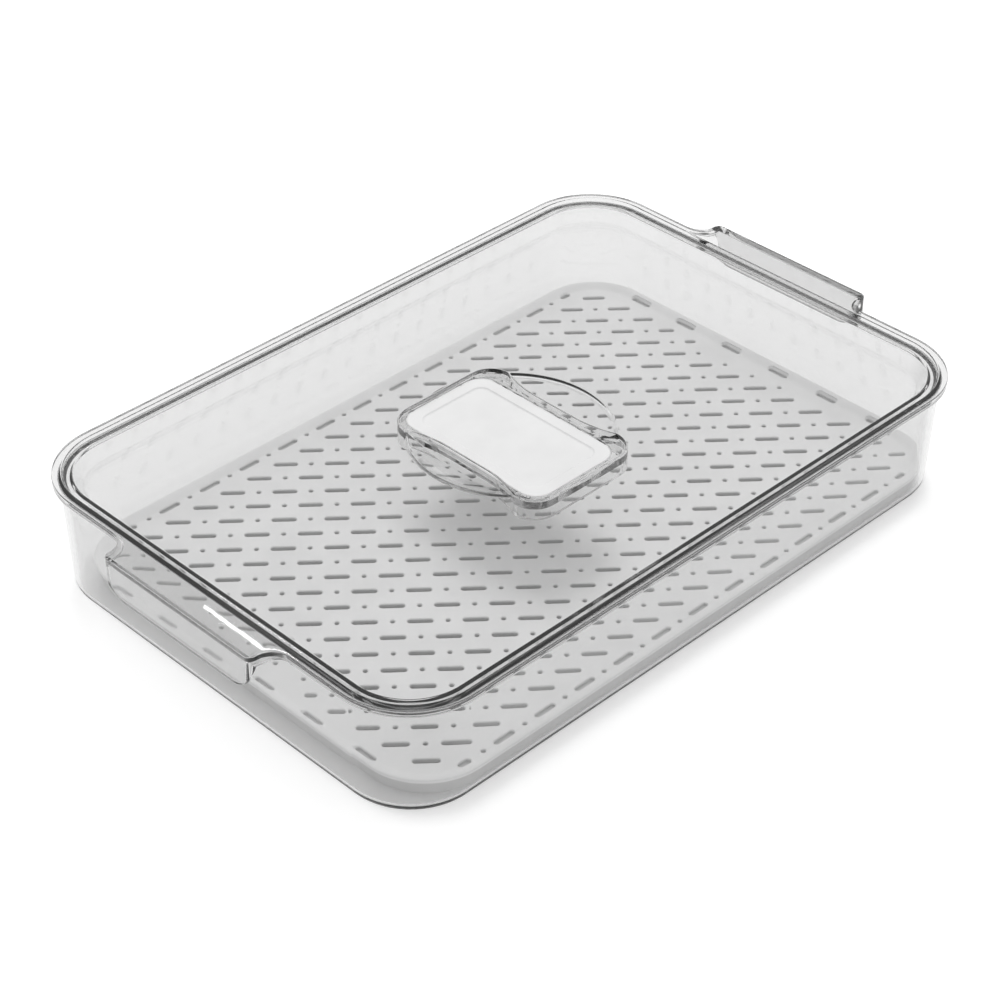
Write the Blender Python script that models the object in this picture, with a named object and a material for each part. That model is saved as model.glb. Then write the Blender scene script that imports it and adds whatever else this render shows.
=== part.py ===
"""Covered refrigerator bin.

A shallow clear bin with a grip handle on each end, a clear lid that drops into its rim, an
insert pressed into the lid's sunken grip, and a slotted tray that keeps food off the floor.
X runs along the bin's length, Y across it and Z up. The origin is the centre of the underside.
"""

import math

import bmesh
import bpy

MM = 0.001
SHARP_ANGLE = math.radians(35)
CORNER_SEGMENTS = 7
ARC_SEGMENTS = 5
SMALL_ARC_SEGMENTS = 3
# How much of an inset a corner radius gives up, so that nested outlines keep their spacing.
CORNER_FOLLOW = 0.95

# Bin: outside sizes at the rim, then the wall below it.
RIM_HALF = (155.0 * MM, 106.15 * MM)
RIM_RADIUS = 31.7 * MM
RIM_TOP = 50.6 * MM
LIP_HEIGHT = 3.0 * MM
LIP_OVERHANG = 2.6 * MM
BASE_INSET = 3.95 * MM
BASE_FILLET = 4.5 * MM
WALL = 2.2 * MM
FLOOR = 2.2 * MM
SEAT_DROP = 3.5 * MM
SEAT_INSET = 3.8 * MM
SEAT_WIDTH = 1.6 * MM

# Handles: a shelf level with the rim that turns down at its outer edge.
HANDLE_REACH = 11.0 * MM
HANDLE_HALF = 40.5 * MM
HANDLE_SKIN = 2.4 * MM
HANDLE_DROP = 15.8 * MM
HANDLE_CORNER = 3.0 * MM
HANDLE_FLARE = 8.0 * MM
HANDLE_TAB_RADIUS = 11.0 * MM

# Lid: a flange on the bin's seat round a sunken panel.
GAP = 0.3 * MM
LID_SKIN = 2.0 * MM
LID_FLANGE_WIDTH = 3.5 * MM
LID_WALL_RUN = 4.1 * MM
LID_WALL_DROP = 6.1 * MM

# Grip: a round bowl-shaped well in the lid, crossed by a waisted bar.
WELL_RADIUS = 40.8 * MM
WELL_FLOOR_RADIUS = 25.0 * MM
WELL_DEPTH = 8.3 * MM
WELL_STEPS = 5
WELL_SIDES = 48
GRIP_HALF_LENGTH = 40.5 * MM
GRIP_END_HALF_WIDTH = 28.6 * MM
GRIP_WAIST_HALF_WIDTH = 24.6 * MM
GRIP_WAIST_STRAIGHT = 10.0 * MM
GRIP_CORNER = 10.5 * MM
GRIP_DECK_DROP = 2.1 * MM
GRIP_RIM = 0.8 * MM

# Insert: a plate let into the top of the grip, held by legs that snap under the grip's deck.
# Its centre lies a little off the grip's.
INSERT_CENTRE = (-0.8 * MM, 1.4 * MM)
INSERT_HALF = (22.7 * MM, 37.6 * MM)
INSERT_RADIUS = 7.8 * MM
INSERT_FOLLOW = 0.6
INSERT_THICKNESS = 1.7 * MM
INSERT_DISH_INSET = 5.5 * MM
INSERT_DISH_DEPTH = 0.5 * MM
LEG_HALF_SPREAD = (9.0 * MM, 33.0 * MM)
LEG_SIZE = (5.0 * MM, 1.4 * MM)
LEG_LENGTH = 3.2 * MM

# Drain tray: a slotted plate with a raised edge, on a skirt and short feet. It lies loose in the
# bin, pushed up to the +X and -Y walls.
TRAY_CENTRE = (3.3 * MM, -1.55 * MM, 0.0)
TRAY_HALF = (145.2 * MM, 98.0 * MM)
TRAY_RADIUS = 26.0 * MM
TRAY_TOP = 9.0 * MM
TRAY_SKIN = 2.0 * MM
TRAY_LIP_HEIGHT = 1.2 * MM
TRAY_LIP_WIDTH = 1.6 * MM
SKIRT_WIDTH = 1.4 * MM
SKIRT_DRAFT = 2.0 * MM
FOOT_RADIUS = 3.0 * MM
FOOT_SIDES = 8
FOOT_COLUMNS = (-125.0 * MM, -42.0 * MM, 42.0 * MM, 125.0 * MM)
FOOT_ROWS = (-76.0 * MM, 0.0, 76.0 * MM)

# Slots: slanting ones right through on a skewed grid, and a row of shallow ones along each edge.
SLOT_WIDTH = 2.2 * MM
SLOT_LENGTH = 9.7 * MM
SLOT_PITCH = 13.78 * MM
SLOT_ROW_STEP = 13.71 * MM
SLOT_ROW_SHIFT = 1.5 * MM
SLOT_ROWS_EACH_WAY = 6
SLOT_FIELD_HALF = 134.6 * MM
SHORTEST_SLOT = 3.0 * MM
EDGE_SLOT_DEPTH = 1.4 * MM
LONG_EDGE_SLOT_Y = 92.05 * MM
LONG_EDGE_PITCH = 20.37 * MM
LONG_EDGE_EACH_WAY = 5
LONG_EDGE_END = (120.8 * MM, 5.0 * MM)
SHORT_EDGE_SLOT_X = 141.1 * MM
SHORT_EDGE_PLACES = (-65.25 * MM, -39.15 * MM, -13.05 * MM, 13.05 * MM, 39.15 * MM, 65.25 * MM)

# Cutters run past what they cut, and joined pieces reach into each other.
OVERCUT = 5.0 * MM
THIN_OVERCUT = 1.25 * MM
BITE = 0.5 * MM


def clear_scene():
    for item in list(bpy.data.objects):
        bpy.data.objects.remove(item, do_unlink=True)


def make_material(name, colour, roughness, transmission=0.0, metallic=0.0):
    material = bpy.data.materials.new(name)
    material.use_nodes = True
    shader = material.node_tree.nodes["Principled BSDF"]
    shader.inputs["Base Color"].default_value = (*colour, 1.0)
    shader.inputs["Roughness"].default_value = roughness
    shader.inputs["Metallic"].default_value = metallic
    shader.inputs["Transmission Weight"].default_value = transmission
    return material


def arc(centre, radius, start, end, segments):
    """Points on an arc, from one angle to the other in degrees."""
    points = []
    for step in range(segments + 1):
        angle = math.radians(start + (end - start) * step / segments)
        points.append((centre[0] + radius * math.cos(angle), centre[1] + radius * math.sin(angle)))
    return points


def circle(radius, sides):
    return arc((0.0, 0.0), radius, 0, 360 - 360 / sides, sides - 1)


def moved(outline, x, y):
    return [(x + dx, y + dy) for dx, dy in outline]


def rounded_rectangle(half_x, half_y, radius, segments=CORNER_SEGMENTS):
    """An anticlockwise outline about the origin."""
    outline = []
    for sign_x, sign_y, start in ((1, -1, -90), (1, 1, 0), (-1, 1, 90), (-1, -1, 180)):
        centre = (sign_x * (half_x - radius), sign_y * (half_y - radius))
        outline += arc(centre, radius, start, start + 90, segments)
    return outline


def mesh_object(name, bm, material):
    bmesh.ops.recalc_face_normals(bm, faces=bm.faces)
    mesh = bpy.data.meshes.new(name)
    bm.to_mesh(mesh)
    bm.free()
    mesh.shade_smooth()
    mesh.set_sharp_from_angle(angle=SHARP_ANGLE)
    item = bpy.data.objects.new(name, mesh)
    bpy.context.scene.collection.objects.link(item)
    if material:
        mesh.materials.append(material)
    return item


def loft_into(bm, rings):
    """Skin a stack of equal outlines, each a list of 3-D points, and cap both ends."""
    rows = [[bm.verts.new(point) for point in ring] for ring in rings]
    for lower, upper in zip(rows, rows[1:]):
        for index in range(len(lower)):
            after = (index + 1) % len(lower)
            bm.faces.new((lower[index], lower[after], upper[after], upper[index]))
    bm.faces.new(reversed(rows[0]))
    bm.faces.new(rows[-1])


def loft(name, rings, material=None):
    bm = bmesh.new()
    loft_into(bm, rings)
    return mesh_object(name, bm, material)


def at_height(outline, z):
    return [(x, y, z) for x, y in outline]


def prism(name, outline, low, high):
    return loft(name, [at_height(outline, low), at_height(outline, high)])


def as_cutter(item):
    item.hide_render = True
    item.display_type = "WIRE"
    return item


def combine(item, other, operation):
    modifier = item.modifiers.new(other.name, "BOOLEAN")
    modifier.operation = operation
    modifier.object = as_cutter(other)


def rim_rings(section):
    """Rings that follow the rim's outline, from pairs of inset and height."""
    rings = []
    for inset, height in section:
        radius = RIM_RADIUS - inset * CORNER_FOLLOW
        outline = rounded_rectangle(RIM_HALF[0] - inset, RIM_HALF[1] - inset, radius)
        rings.append(at_height(outline, height))
    return rings


def bin_section():
    """The bin's section from the underside, round the rim, to the floor inside."""
    wall_top = RIM_TOP - LIP_HEIGHT
    seat_z = RIM_TOP - SEAT_DROP
    foot = (BASE_INSET + BASE_FILLET, BASE_FILLET)
    section = arc(foot, BASE_FILLET, 270, 180, SMALL_ARC_SEGMENTS)
    section += [
        (LIP_OVERHANG, wall_top),
        (0.0, wall_top),
        (0.0, RIM_TOP),
        (SEAT_INSET, RIM_TOP),
        (SEAT_INSET, seat_z),
        (SEAT_INSET + SEAT_WIDTH, seat_z),
    ]
    inner_fillet = BASE_FILLET - WALL
    inner_foot = (BASE_INSET + WALL + inner_fillet, FLOOR + inner_fillet)
    return section + arc(inner_foot, inner_fillet, 180, 270, SMALL_ARC_SEGMENTS)


def handle_plan():
    """The shelf's outline from above, on the +X side, with flares that run into the rim."""
    rim = RIM_HALF[0]
    root = rim - LIP_OVERHANG - BITE
    half, corner, flare = HANDLE_HALF, HANDLE_CORNER, HANDLE_FLARE
    corner_x = rim + HANDLE_REACH - corner
    outline = [(root, -half - flare)]
    outline += arc((rim + flare, -half - flare), flare, 180, 90, ARC_SEGMENTS)
    outline += arc((corner_x, -half + corner), corner, 270, 360, ARC_SEGMENTS)[1:]
    outline += arc((corner_x, half - corner), corner, 0, 90, ARC_SEGMENTS)
    outline += arc((rim + flare, half + flare), flare, 270, 180, ARC_SEGMENTS)[1:]
    outline.append((root, half + flare))
    return outline


def handle_face():
    """The shelf and tab seen from the end: the tab's lower corners are round."""
    high = RIM_TOP + OVERCUT
    shelf_low = RIM_TOP - LIP_HEIGHT
    wide = HANDLE_HALF + HANDLE_FLARE + OVERCUT
    radius = HANDLE_TAB_RADIUS
    corner_y = HANDLE_HALF - radius
    corner_z = RIM_TOP - HANDLE_DROP + radius
    profile = [(-wide, high), (-wide, shelf_low), (-HANDLE_HALF, shelf_low)]
    profile += arc((-corner_y, corner_z), radius, 180, 270, ARC_SEGMENTS)
    profile += arc((corner_y, corner_z), radius, 270, 360, ARC_SEGMENTS)
    return profile + [(HANDLE_HALF, shelf_low), (wide, shelf_low), (wide, high)]


def make_handle(side):
    """One end handle, as a guide that is joined to the bin. side is 1 for +X and -1 for -X."""
    name = "handle_plus" if side > 0 else "handle_minus"
    turn = 0.0 if side > 0 else math.pi
    shelf_low = RIM_TOP - LIP_HEIGHT
    tab_low = RIM_TOP - HANDLE_DROP
    front = RIM_HALF[0] + HANDLE_REACH
    handle = prism(name, handle_plan(), tab_low - OVERCUT, RIM_TOP)

    profile = handle_face()
    ends = (RIM_HALF[0] - 2 * OVERCUT, front + OVERCUT)
    rings = [[(x, y, z) for y, z in profile] for x in ends]
    combine(handle, loft(name + "_face", rings), "INTERSECT")

    # The space for the fingers, between the tab and the wall.
    half_depth = HANDLE_REACH + OVERCUT
    radius = HANDLE_CORNER - HANDLE_SKIN
    finger = rounded_rectangle(half_depth, HANDLE_HALF - HANDLE_SKIN, radius, SMALL_ARC_SEGMENTS)
    finger = moved(finger, front - HANDLE_SKIN - half_depth, 0.0)
    combine(handle, prism(name + "_fingers", finger, tab_low - 2 * OVERCUT, shelf_low), "DIFFERENCE")

    handle.rotation_euler[2] = turn
    for modifier in handle.modifiers:
        modifier.object.rotation_euler[2] = turn
    return handle


def make_bin(material):
    body = loft("bin", rim_rings(bin_section()), material)
    for side in (1, -1):
        combine(body, make_handle(side), "UNION")
    return body


def lid_section():
    """The lid's section from under the panel, round the flange, to the panel's top."""
    flange_inset = SEAT_INSET + GAP
    flange_low = RIM_TOP - SEAT_DROP + GAP
    flange_top = flange_low + LID_SKIN
    slope = math.hypot(LID_WALL_RUN, LID_WALL_DROP)
    panel_inset = flange_inset + LID_FLANGE_WIDTH + LID_WALL_RUN
    panel_top = flange_top - LID_WALL_DROP
    # The wall's outer face lies one skin outside its inner face, measured square to the slope.
    out = LID_SKIN * slope / LID_WALL_DROP
    lean = LID_WALL_RUN / LID_WALL_DROP
    return [
        (panel_inset - out + LID_SKIN * lean, panel_top - LID_SKIN),
        (panel_inset - out - (LID_WALL_DROP - LID_SKIN) * lean, flange_low),
        (flange_inset, flange_low),
        (flange_inset, flange_top),
        (flange_inset + LID_FLANGE_WIDTH, flange_top),
        (panel_inset, panel_top),
    ]


def panel_top_height():
    return RIM_TOP - SEAT_DROP + GAP + LID_SKIN - LID_WALL_DROP


def grip_plan(inset=0.0):
    """The waisted outline of the grip bar from above."""
    half_y = GRIP_HALF_LENGTH - inset
    end_x = GRIP_END_HALF_WIDTH - inset
    waist_x = GRIP_WAIST_HALF_WIDTH - inset
    corner = GRIP_CORNER - inset
    shoulder_y = half_y - corner
    # The waist's arc starts at the end of the straight and reaches the end's width at the shoulder.
    run = shoulder_y - GRIP_WAIST_STRAIGHT
    rise = end_x - waist_x
    radius = (run * run + rise * rise) / (2 * rise)
    sweep = math.degrees(math.asin(run / radius))
    outline = []
    for sign in (1, -1):
        # Up the +X side, then across the +Y end; the second pass is the same turned half round.
        side = arc((waist_x + radius, -GRIP_WAIST_STRAIGHT), radius, 180 + sweep, 180, ARC_SEGMENTS)
        side += arc((waist_x + radius, GRIP_WAIST_STRAIGHT), radius, 180, 180 - sweep, ARC_SEGMENTS)
        side += arc((end_x - corner, shoulder_y), corner, 0, 90, ARC_SEGMENTS)[1:]
        side += arc((-end_x + corner, shoulder_y), corner, 90, 180, ARC_SEGMENTS)[:-1]
        outline += [(sign * x, sign * y) for x, y in side]
    return outline


def well_rings(grow):
    """The round well as a stack of circles from its floor up. grow moves it down, and out by half."""
    top = panel_top_height()
    rings = []
    for step in range(WELL_STEPS + 1):
        share = step / WELL_STEPS
        radius = WELL_RADIUS + (WELL_FLOOR_RADIUS - WELL_RADIUS) * share + grow / 2
        height = top - WELL_DEPTH * math.sin(math.pi / 2 * share) - grow
        rings.append(at_height(circle(radius, WELL_SIDES), height))
    rings.reverse()
    return rings


def insert_outline(inset, radius):
    """The insert's plan, or its pocket's for an inset below zero."""
    outline = rounded_rectangle(INSERT_HALF[0] - inset, INSERT_HALF[1] - inset, radius)
    return moved(outline, *INSERT_CENTRE)


def leg_places():
    """Where the insert's legs stand, one near each corner, and which way each one's hook points."""
    half_x, half_y = LEG_HALF_SPREAD
    middle_x, middle_y = INSERT_CENTRE
    return [
        (middle_x + along * half_x, middle_y + outward * half_y, outward)
        for outward in (-1, 1)
        for along in (-1, 1)
    ]


def make_lid(material):
    lid = loft("lid", rim_rings(lid_section()), material)
    top = panel_top_height()
    well_low = top - WELL_DEPTH
    deck = top - GRIP_DECK_DROP
    seat = deck - INSERT_THICKNESS - GAP

    combine(lid, loft("well_outside", well_rings(LID_SKIN)), "UNION")
    inside = well_rings(0.0)
    inside.append([(x, y, z + OVERCUT) for x, y, z in inside[-1]])
    combine(lid, loft("well_inside", inside), "DIFFERENCE")
    combine(lid, prism("grip_bar", grip_plan(), well_low - LID_SKIN, top), "UNION")
    combine(lid, prism("grip_top", grip_plan(GRIP_RIM), deck, top + OVERCUT), "DIFFERENCE")
    pocket = insert_outline(-GAP, INSERT_RADIUS + GAP)
    combine(lid, prism("insert_pocket", pocket, seat, top + OVERCUT), "DIFFERENCE")
    hollow_low = well_low - LID_SKIN - OVERCUT
    hollow = prism("grip_hollow", grip_plan(LID_SKIN), hollow_low, seat - LID_SKIN)
    combine(lid, hollow, "DIFFERENCE")
    half_x, half_y = LEG_SIZE[0] / 2 + GAP, LEG_SIZE[1] / 2 + 2 * GAP
    for number, (x, y, _) in enumerate(leg_places()):
        outline = moved(rounded_rectangle(half_x, half_y, GAP, 1), x, y)
        hole = prism(f"leg_hole_{number}", outline, seat - LID_SKIN - OVERCUT, seat + THIN_OVERCUT)
        combine(lid, hole, "DIFFERENCE")
    return lid


def make_insert(material):
    top = panel_top_height() - GRIP_DECK_DROP
    low = top - INSERT_THICKNESS
    edge = BITE
    rings = []
    for inset, height in (
        (0.0, low),
        (0.0, top - edge),
        (edge, top),
        (INSERT_DISH_INSET, top),
        (INSERT_DISH_INSET + edge, top - INSERT_DISH_DEPTH),
    ):
        outline = insert_outline(inset, INSERT_RADIUS - inset * INSERT_FOLLOW)
        rings.append(at_height(outline, height))
    plate = loft("grip_insert", rings, material)
    half_x, half_y = LEG_SIZE[0] / 2, LEG_SIZE[1] / 2
    for number, (x, y, outward) in enumerate(leg_places()):
        # A straight leg with a small hook at its foot that points to the near end.
        profile = [
            (-half_y, low + BITE),
            (-half_y, low - LEG_LENGTH),
            (half_y, low - LEG_LENGTH),
            (half_y + 2 * GAP, low - LEG_LENGTH + BITE),
            (half_y, low - LEG_LENGTH + 2 * BITE),
            (half_y, low + BITE),
        ]
        rings = [[(x + dx, y + outward * dy, z) for dy, z in profile] for dx in (-half_x, half_x)]
        combine(plate, loft(f"leg_{number}", rings), "UNION")
    return plate


def slot_outline(x, y, direction, length):
    """A slot's outline: a rectangle about (x, y) along a unit direction."""
    along_x, along_y = (component * length / 2 for component in direction)
    across_x, across_y = -direction[1] * SLOT_WIDTH / 2, direction[0] * SLOT_WIDTH / 2
    return [
        (x - along_x - across_x, y - along_y - across_y),
        (x + along_x - across_x, y + along_y - across_y),
        (x + along_x + across_x, y + along_y + across_y),
        (x - along_x + across_x, y - along_y + across_y),
    ]


def slanting_slots():
    """Slots in slanting lines, end to end, trimmed where a line leaves the field."""
    run, fall = SLOT_PITCH + SLOT_ROW_SHIFT, -SLOT_ROW_STEP
    size = math.hypot(run, fall)
    direction = (run / size, fall / size)
    half_run = SLOT_LENGTH / 2 * direction[0]
    columns = int(SLOT_FIELD_HALF / SLOT_PITCH) + 2
    outlines = []
    for row in range(-SLOT_ROWS_EACH_WAY, SLOT_ROWS_EACH_WAY + 1):
        for column in range(-columns, columns + 1):
            x = column * SLOT_PITCH + row * SLOT_ROW_SHIFT
            y = -row * SLOT_ROW_STEP
            low = max(x - half_run, -SLOT_FIELD_HALF)
            high = min(x + half_run, SLOT_FIELD_HALF)
            length = (high - low) / direction[0]
            if length < SHORTEST_SLOT:
                continue
            middle = (low + high) / 2
            slot_y = y + (middle - x) * direction[1] / direction[0]
            outlines.append(slot_outline(middle, slot_y, direction, length))
    return outlines


def edge_slots():
    outlines = []
    for side in (1, -1):
        y = side * LONG_EDGE_SLOT_Y
        for place in range(-LONG_EDGE_EACH_WAY, LONG_EDGE_EACH_WAY + 1):
            outlines.append(slot_outline(place * LONG_EDGE_PITCH, y, (1.0, 0.0), SLOT_LENGTH))
        for end in (1, -1):
            outlines.append(slot_outline(end * LONG_EDGE_END[0], y, (1.0, 0.0), LONG_EDGE_END[1]))
        for place in SHORT_EDGE_PLACES:
            outlines.append(slot_outline(side * SHORT_EDGE_SLOT_X, place, (0.0, 1.0), SLOT_LENGTH))
    return outlines


def foot_places():
    """Feet stand midway between two slanting lines of slots, nearest to an even spread."""
    places = []
    for wanted_x in FOOT_COLUMNS:
        for wanted_y in FOOT_ROWS:
            row = round(-wanted_y / SLOT_ROW_STEP)
            start = row * SLOT_ROW_SHIFT + SLOT_PITCH / 2
            column = round((wanted_x - start) / SLOT_PITCH)
            places.append((start + column * SLOT_PITCH, -row * SLOT_ROW_STEP))
    return places


def make_tray(material):
    underside = TRAY_TOP - TRAY_SKIN
    foot = FLOOR + GAP
    rings = []
    for inset, height in (
        (SKIRT_WIDTH + SKIRT_DRAFT / 2, underside),
        (SKIRT_WIDTH + SKIRT_DRAFT, foot),
        (SKIRT_DRAFT, foot),
        (0.0, TRAY_TOP + TRAY_LIP_HEIGHT),
        (TRAY_LIP_WIDTH, TRAY_TOP + TRAY_LIP_HEIGHT),
        (TRAY_LIP_WIDTH, TRAY_TOP),
    ):
        outline = rounded_rectangle(TRAY_HALF[0] - inset, TRAY_HALF[1] - inset, TRAY_RADIUS - inset)
        rings.append(at_height(outline, height))
    tray = loft("drain_tray", rings, material)

    slots = bmesh.new()
    through, shallow = underside - THIN_OVERCUT, TRAY_TOP - EDGE_SLOT_DEPTH
    for outlines, low in ((slanting_slots(), through), (edge_slots(), shallow)):
        for outline in outlines:
            loft_into(slots, [at_height(outline, low), at_height(outline, TRAY_TOP + THIN_OVERCUT)])
    combine(tray, mesh_object("slots", slots, None), "DIFFERENCE")

    feet = bmesh.new()
    for x, y in foot_places():
        outline = moved(circle(FOOT_RADIUS, FOOT_SIDES), x, y)
        loft_into(feet, [at_height(outline, foot), at_height(outline, underside + BITE)])
    combine(tray, mesh_object("feet", feet, None), "UNION")

    tray.location = TRAY_CENTRE
    for modifier in tray.modifiers:
        modifier.object.location = TRAY_CENTRE
    return tray


def main():
    clear_scene()
    make_bin(make_material("clear_bin", (0.86, 0.87, 0.87), 0.05, transmission=0.9))
    make_lid(make_material("clear_lid", (0.88, 0.89, 0.89), 0.05, transmission=0.9))
    make_insert(make_material("white_insert", (0.86, 0.86, 0.86), 0.4))
    make_tray(make_material("tray_plastic", (0.80, 0.80, 0.80), 0.5))


main()
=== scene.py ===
"""Looks for the covered fridge bin: fine meshes, materials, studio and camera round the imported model."""

import math

import bmesh
import bpy
from mathutils import Matrix, Vector


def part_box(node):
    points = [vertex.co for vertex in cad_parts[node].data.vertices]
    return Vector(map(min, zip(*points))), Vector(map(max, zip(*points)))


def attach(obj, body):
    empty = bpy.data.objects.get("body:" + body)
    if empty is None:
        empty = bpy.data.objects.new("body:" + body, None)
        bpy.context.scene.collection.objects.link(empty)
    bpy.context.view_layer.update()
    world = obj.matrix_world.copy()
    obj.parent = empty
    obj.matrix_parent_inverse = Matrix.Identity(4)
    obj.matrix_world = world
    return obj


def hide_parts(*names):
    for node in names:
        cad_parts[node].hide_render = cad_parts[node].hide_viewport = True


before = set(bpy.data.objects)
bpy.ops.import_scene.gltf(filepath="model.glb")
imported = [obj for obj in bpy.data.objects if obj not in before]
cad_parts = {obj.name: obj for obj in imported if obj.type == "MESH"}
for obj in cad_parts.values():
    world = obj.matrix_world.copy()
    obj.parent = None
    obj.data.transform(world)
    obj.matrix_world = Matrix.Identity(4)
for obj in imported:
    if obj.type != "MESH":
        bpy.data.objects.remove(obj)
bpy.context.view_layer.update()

MM = 0.001
CORNER_SEGMENTS = 20
SHARP_ANGLE = math.radians(40)

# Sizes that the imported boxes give.
bin_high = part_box("bin")[1]
tray_low, tray_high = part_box("drain_tray")
insert_low, insert_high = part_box("grip_insert")
tray_middle, tray_half = (tray_high + tray_low) / 2, (tray_high - tray_low) / 2
insert_middle, insert_half = (insert_high + insert_low) / 2, (insert_high - insert_low) / 2

# Bin: section and handles.
RIM_TOP = bin_high.z
RIM_HALF_Y = bin_high.y
HANDLE_REACH = 11.0 * MM
RIM_HALF_X = bin_high.x - HANDLE_REACH
RIM_RADIUS = 31.7 * MM
CORNER_FOLLOW = 0.95
LIP_HEIGHT = 3.0 * MM
LIP_OVERHANG = 2.6 * MM
LIP_UNDERCUT = 1.6 * MM
LIP_ROUNDING = 0.4 * MM
SHELF_ROUNDING = 0.5 * MM
BIN_ROUNDING = 0.7 * MM
TAB_ROUNDING = 0.2 * MM
SEAT_ROUNDING = 0.3 * MM
BASE_INSET = 3.95 * MM
BASE_FILLET = 4.5 * MM
WALL = 2.2 * MM
FLOOR = 2.2 * MM
SEAT_DROP = 3.5 * MM
SEAT_INSET = 3.8 * MM
SEAT_WIDTH = 1.6 * MM
HANDLE_HALF = 40.5 * MM
HANDLE_SKIN = 2.4 * MM
HANDLE_DROP = 15.8 * MM
HANDLE_CORNER = 3.0 * MM
HANDLE_FLARE = 8.0 * MM
HANDLE_TAB_RADIUS = 11.0 * MM

# Lid and grip.
GAP = 0.3 * MM
LID_SKIN = 2.0 * MM
FLANGE_WIDTH = 3.5 * MM
LID_WALL_RUN = 4.1 * MM
LID_WALL_DROP = 6.1 * MM
FLANGE_TOP = RIM_TOP - SEAT_DROP + GAP + LID_SKIN
PANEL_TOP = FLANGE_TOP - LID_WALL_DROP
WELL_RADIUS = 40.8 * MM
WELL_FLOOR_RADIUS = 25.0 * MM
WELL_DEPTH = 8.3 * MM
# The rounded edge round the well, as millimetres outward from its radius and down from the panel.
WELL_EDGE = ((-0.45, 0.37), (-0.12, 0.135), (0.22, 0.03), (0.6, 0.0))
GRIP_HALF_LENGTH = 40.5 * MM
GRIP_END_HALF_WIDTH = 28.6 * MM
GRIP_WAIST_HALF_WIDTH = 24.6 * MM
GRIP_WAIST_STRAIGHT = 10.0 * MM
GRIP_CORNER = 10.5 * MM
GRIP_DECK_DROP = 2.1 * MM
GRIP_RIM = 0.8 * MM
LID_ROUNDING = 0.5 * MM
BAR_ROUNDING = 0.4 * MM
POCKET_ROUNDING = 0.2 * MM

# Insert.
INSERT_RADIUS = 7.8 * MM
INSERT_THICKNESS = 1.7 * MM
INSERT_ROUNDING = 0.5 * MM
INSERT_DISH_INSET = 5.5 * MM
INSERT_DISH_DEPTH = 0.5 * MM
LEG_HALF_SPREAD = (9.0 * MM, 33.0 * MM)
LEG_SIZE = (5.0 * MM, 1.4 * MM)
LEG_LENGTH = 3.2 * MM

# Tray.
TRAY_RADIUS = 26.0 * MM
TRAY_SKIN = 2.0 * MM
TRAY_LIP_HEIGHT = 1.2 * MM
TRAY_LIP_WIDTH = 1.6 * MM
SKIRT_WIDTH = 1.4 * MM
SKIRT_DRAFT = 2.0 * MM
TRAY_TOP = tray_high.z - TRAY_LIP_HEIGHT
FOOT_RADIUS = 3.0 * MM
FOOT_COLUMNS = (-125.0 * MM, -42.0 * MM, 42.0 * MM, 125.0 * MM)
FOOT_ROWS = (-76.0 * MM, 0.0, 76.0 * MM)
TRAY_ROUNDING = 0.5 * MM
SLOT_CHAMFER = 0.35 * MM
SLOT_WIDTH = 2.2 * MM
SLOT_LENGTH = 9.7 * MM
DOT_WIDTH = 1.8 * MM
SLOT_PITCH = 13.78 * MM
SLOT_ROW_STEP = 13.71 * MM
SLOT_ROW_SHIFT = 1.5 * MM
SLOT_ROWS_EACH_WAY = 6
SLOT_FIELD_HALF = 134.6 * MM
SHORTEST_SLOT = 3.0 * MM
EDGE_SLOT_DEPTH = 1.4 * MM
LONG_EDGE_SLOT_Y = 92.05 * MM
LONG_EDGE_PITCH = 20.37 * MM
LONG_EDGE_EACH_WAY = 5
LONG_EDGE_END = (120.8 * MM, 5.0 * MM)
SHORT_EDGE_SLOT_X = 141.1 * MM
SHORT_EDGE_PLACES = (-65.25 * MM, -39.15 * MM, -13.05 * MM, 13.05 * MM, 39.15 * MM, 65.25 * MM)

# Camera.
CAMERA_AZIMUTH = math.radians(-44.61)
CAMERA_ELEVATION = math.radians(36.73)
CAMERA_ROLL = math.radians(0.117)
CAMERA_DISTANCE = 1.00664
CAMERA_TARGET = Vector((-0.00139, 0.01231, 0.0))
CAMERA_LENS = 91.12
CAMERA_SHIFT = (0.0134, 0.00965)

# Materials.
PLASTIC_IOR = 1.53
ABSORPTION_GREY = (0.43, 0.43, 0.43)
# Painted shade below the tray's top face: the colour darkens over this height, down to this share of its
# brightness.
PAINTED_SHADE_FADE = 0.8 * MM
PAINTED_SHADE_SHARE = 0.68

# Studio.
FLOOR_RADIUS = 12.0
FLOOR_DROP = 0.05 * MM
FLOOR_GLOW = 0.24
GLOW_INSET = 12.0 * MM
DOME_STRENGTH = 0.75
BAND_LEVELS = ((0.06, 0.15), (0.3, 1.0))
BAND_SLOPE = (-0.14, 0.14, 0.0)
BAND_LIFT = 0.1
LIGHT_TURNS = 32

# How far a cutter reaches past a face, and a joined piece into its neighbour.
OVERCUT = 5.0 * MM
BITE = 0.5 * MM


# ---------------------------------------------------------------- mesh helpers

def arc(centre, radius, start, end, segments):
    """Points on an arc, from one angle to the other in degrees."""
    points = []
    for step in range(segments + 1):
        angle = math.radians(start + (end - start) * step / segments)
        points.append((centre[0] + radius * math.cos(angle), centre[1] + radius * math.sin(angle)))
    return points


def circle(radius, sides):
    return arc((0.0, 0.0), radius, 0, 360 - 360 / sides, sides - 1)


def rounded_rectangle(half_x, half_y, radius, segments=CORNER_SEGMENTS):
    """An anticlockwise outline about the origin."""
    outline = []
    for sign_x, sign_y, start in ((1, -1, -90), (1, 1, 0), (-1, 1, 90), (-1, -1, 180)):
        centre = (sign_x * (half_x - radius), sign_y * (half_y - radius))
        outline += arc(centre, radius, start, start + 90, segments)
    return outline


def at_height(outline, z):
    return [(x, y, z) for x, y in outline]


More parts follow.
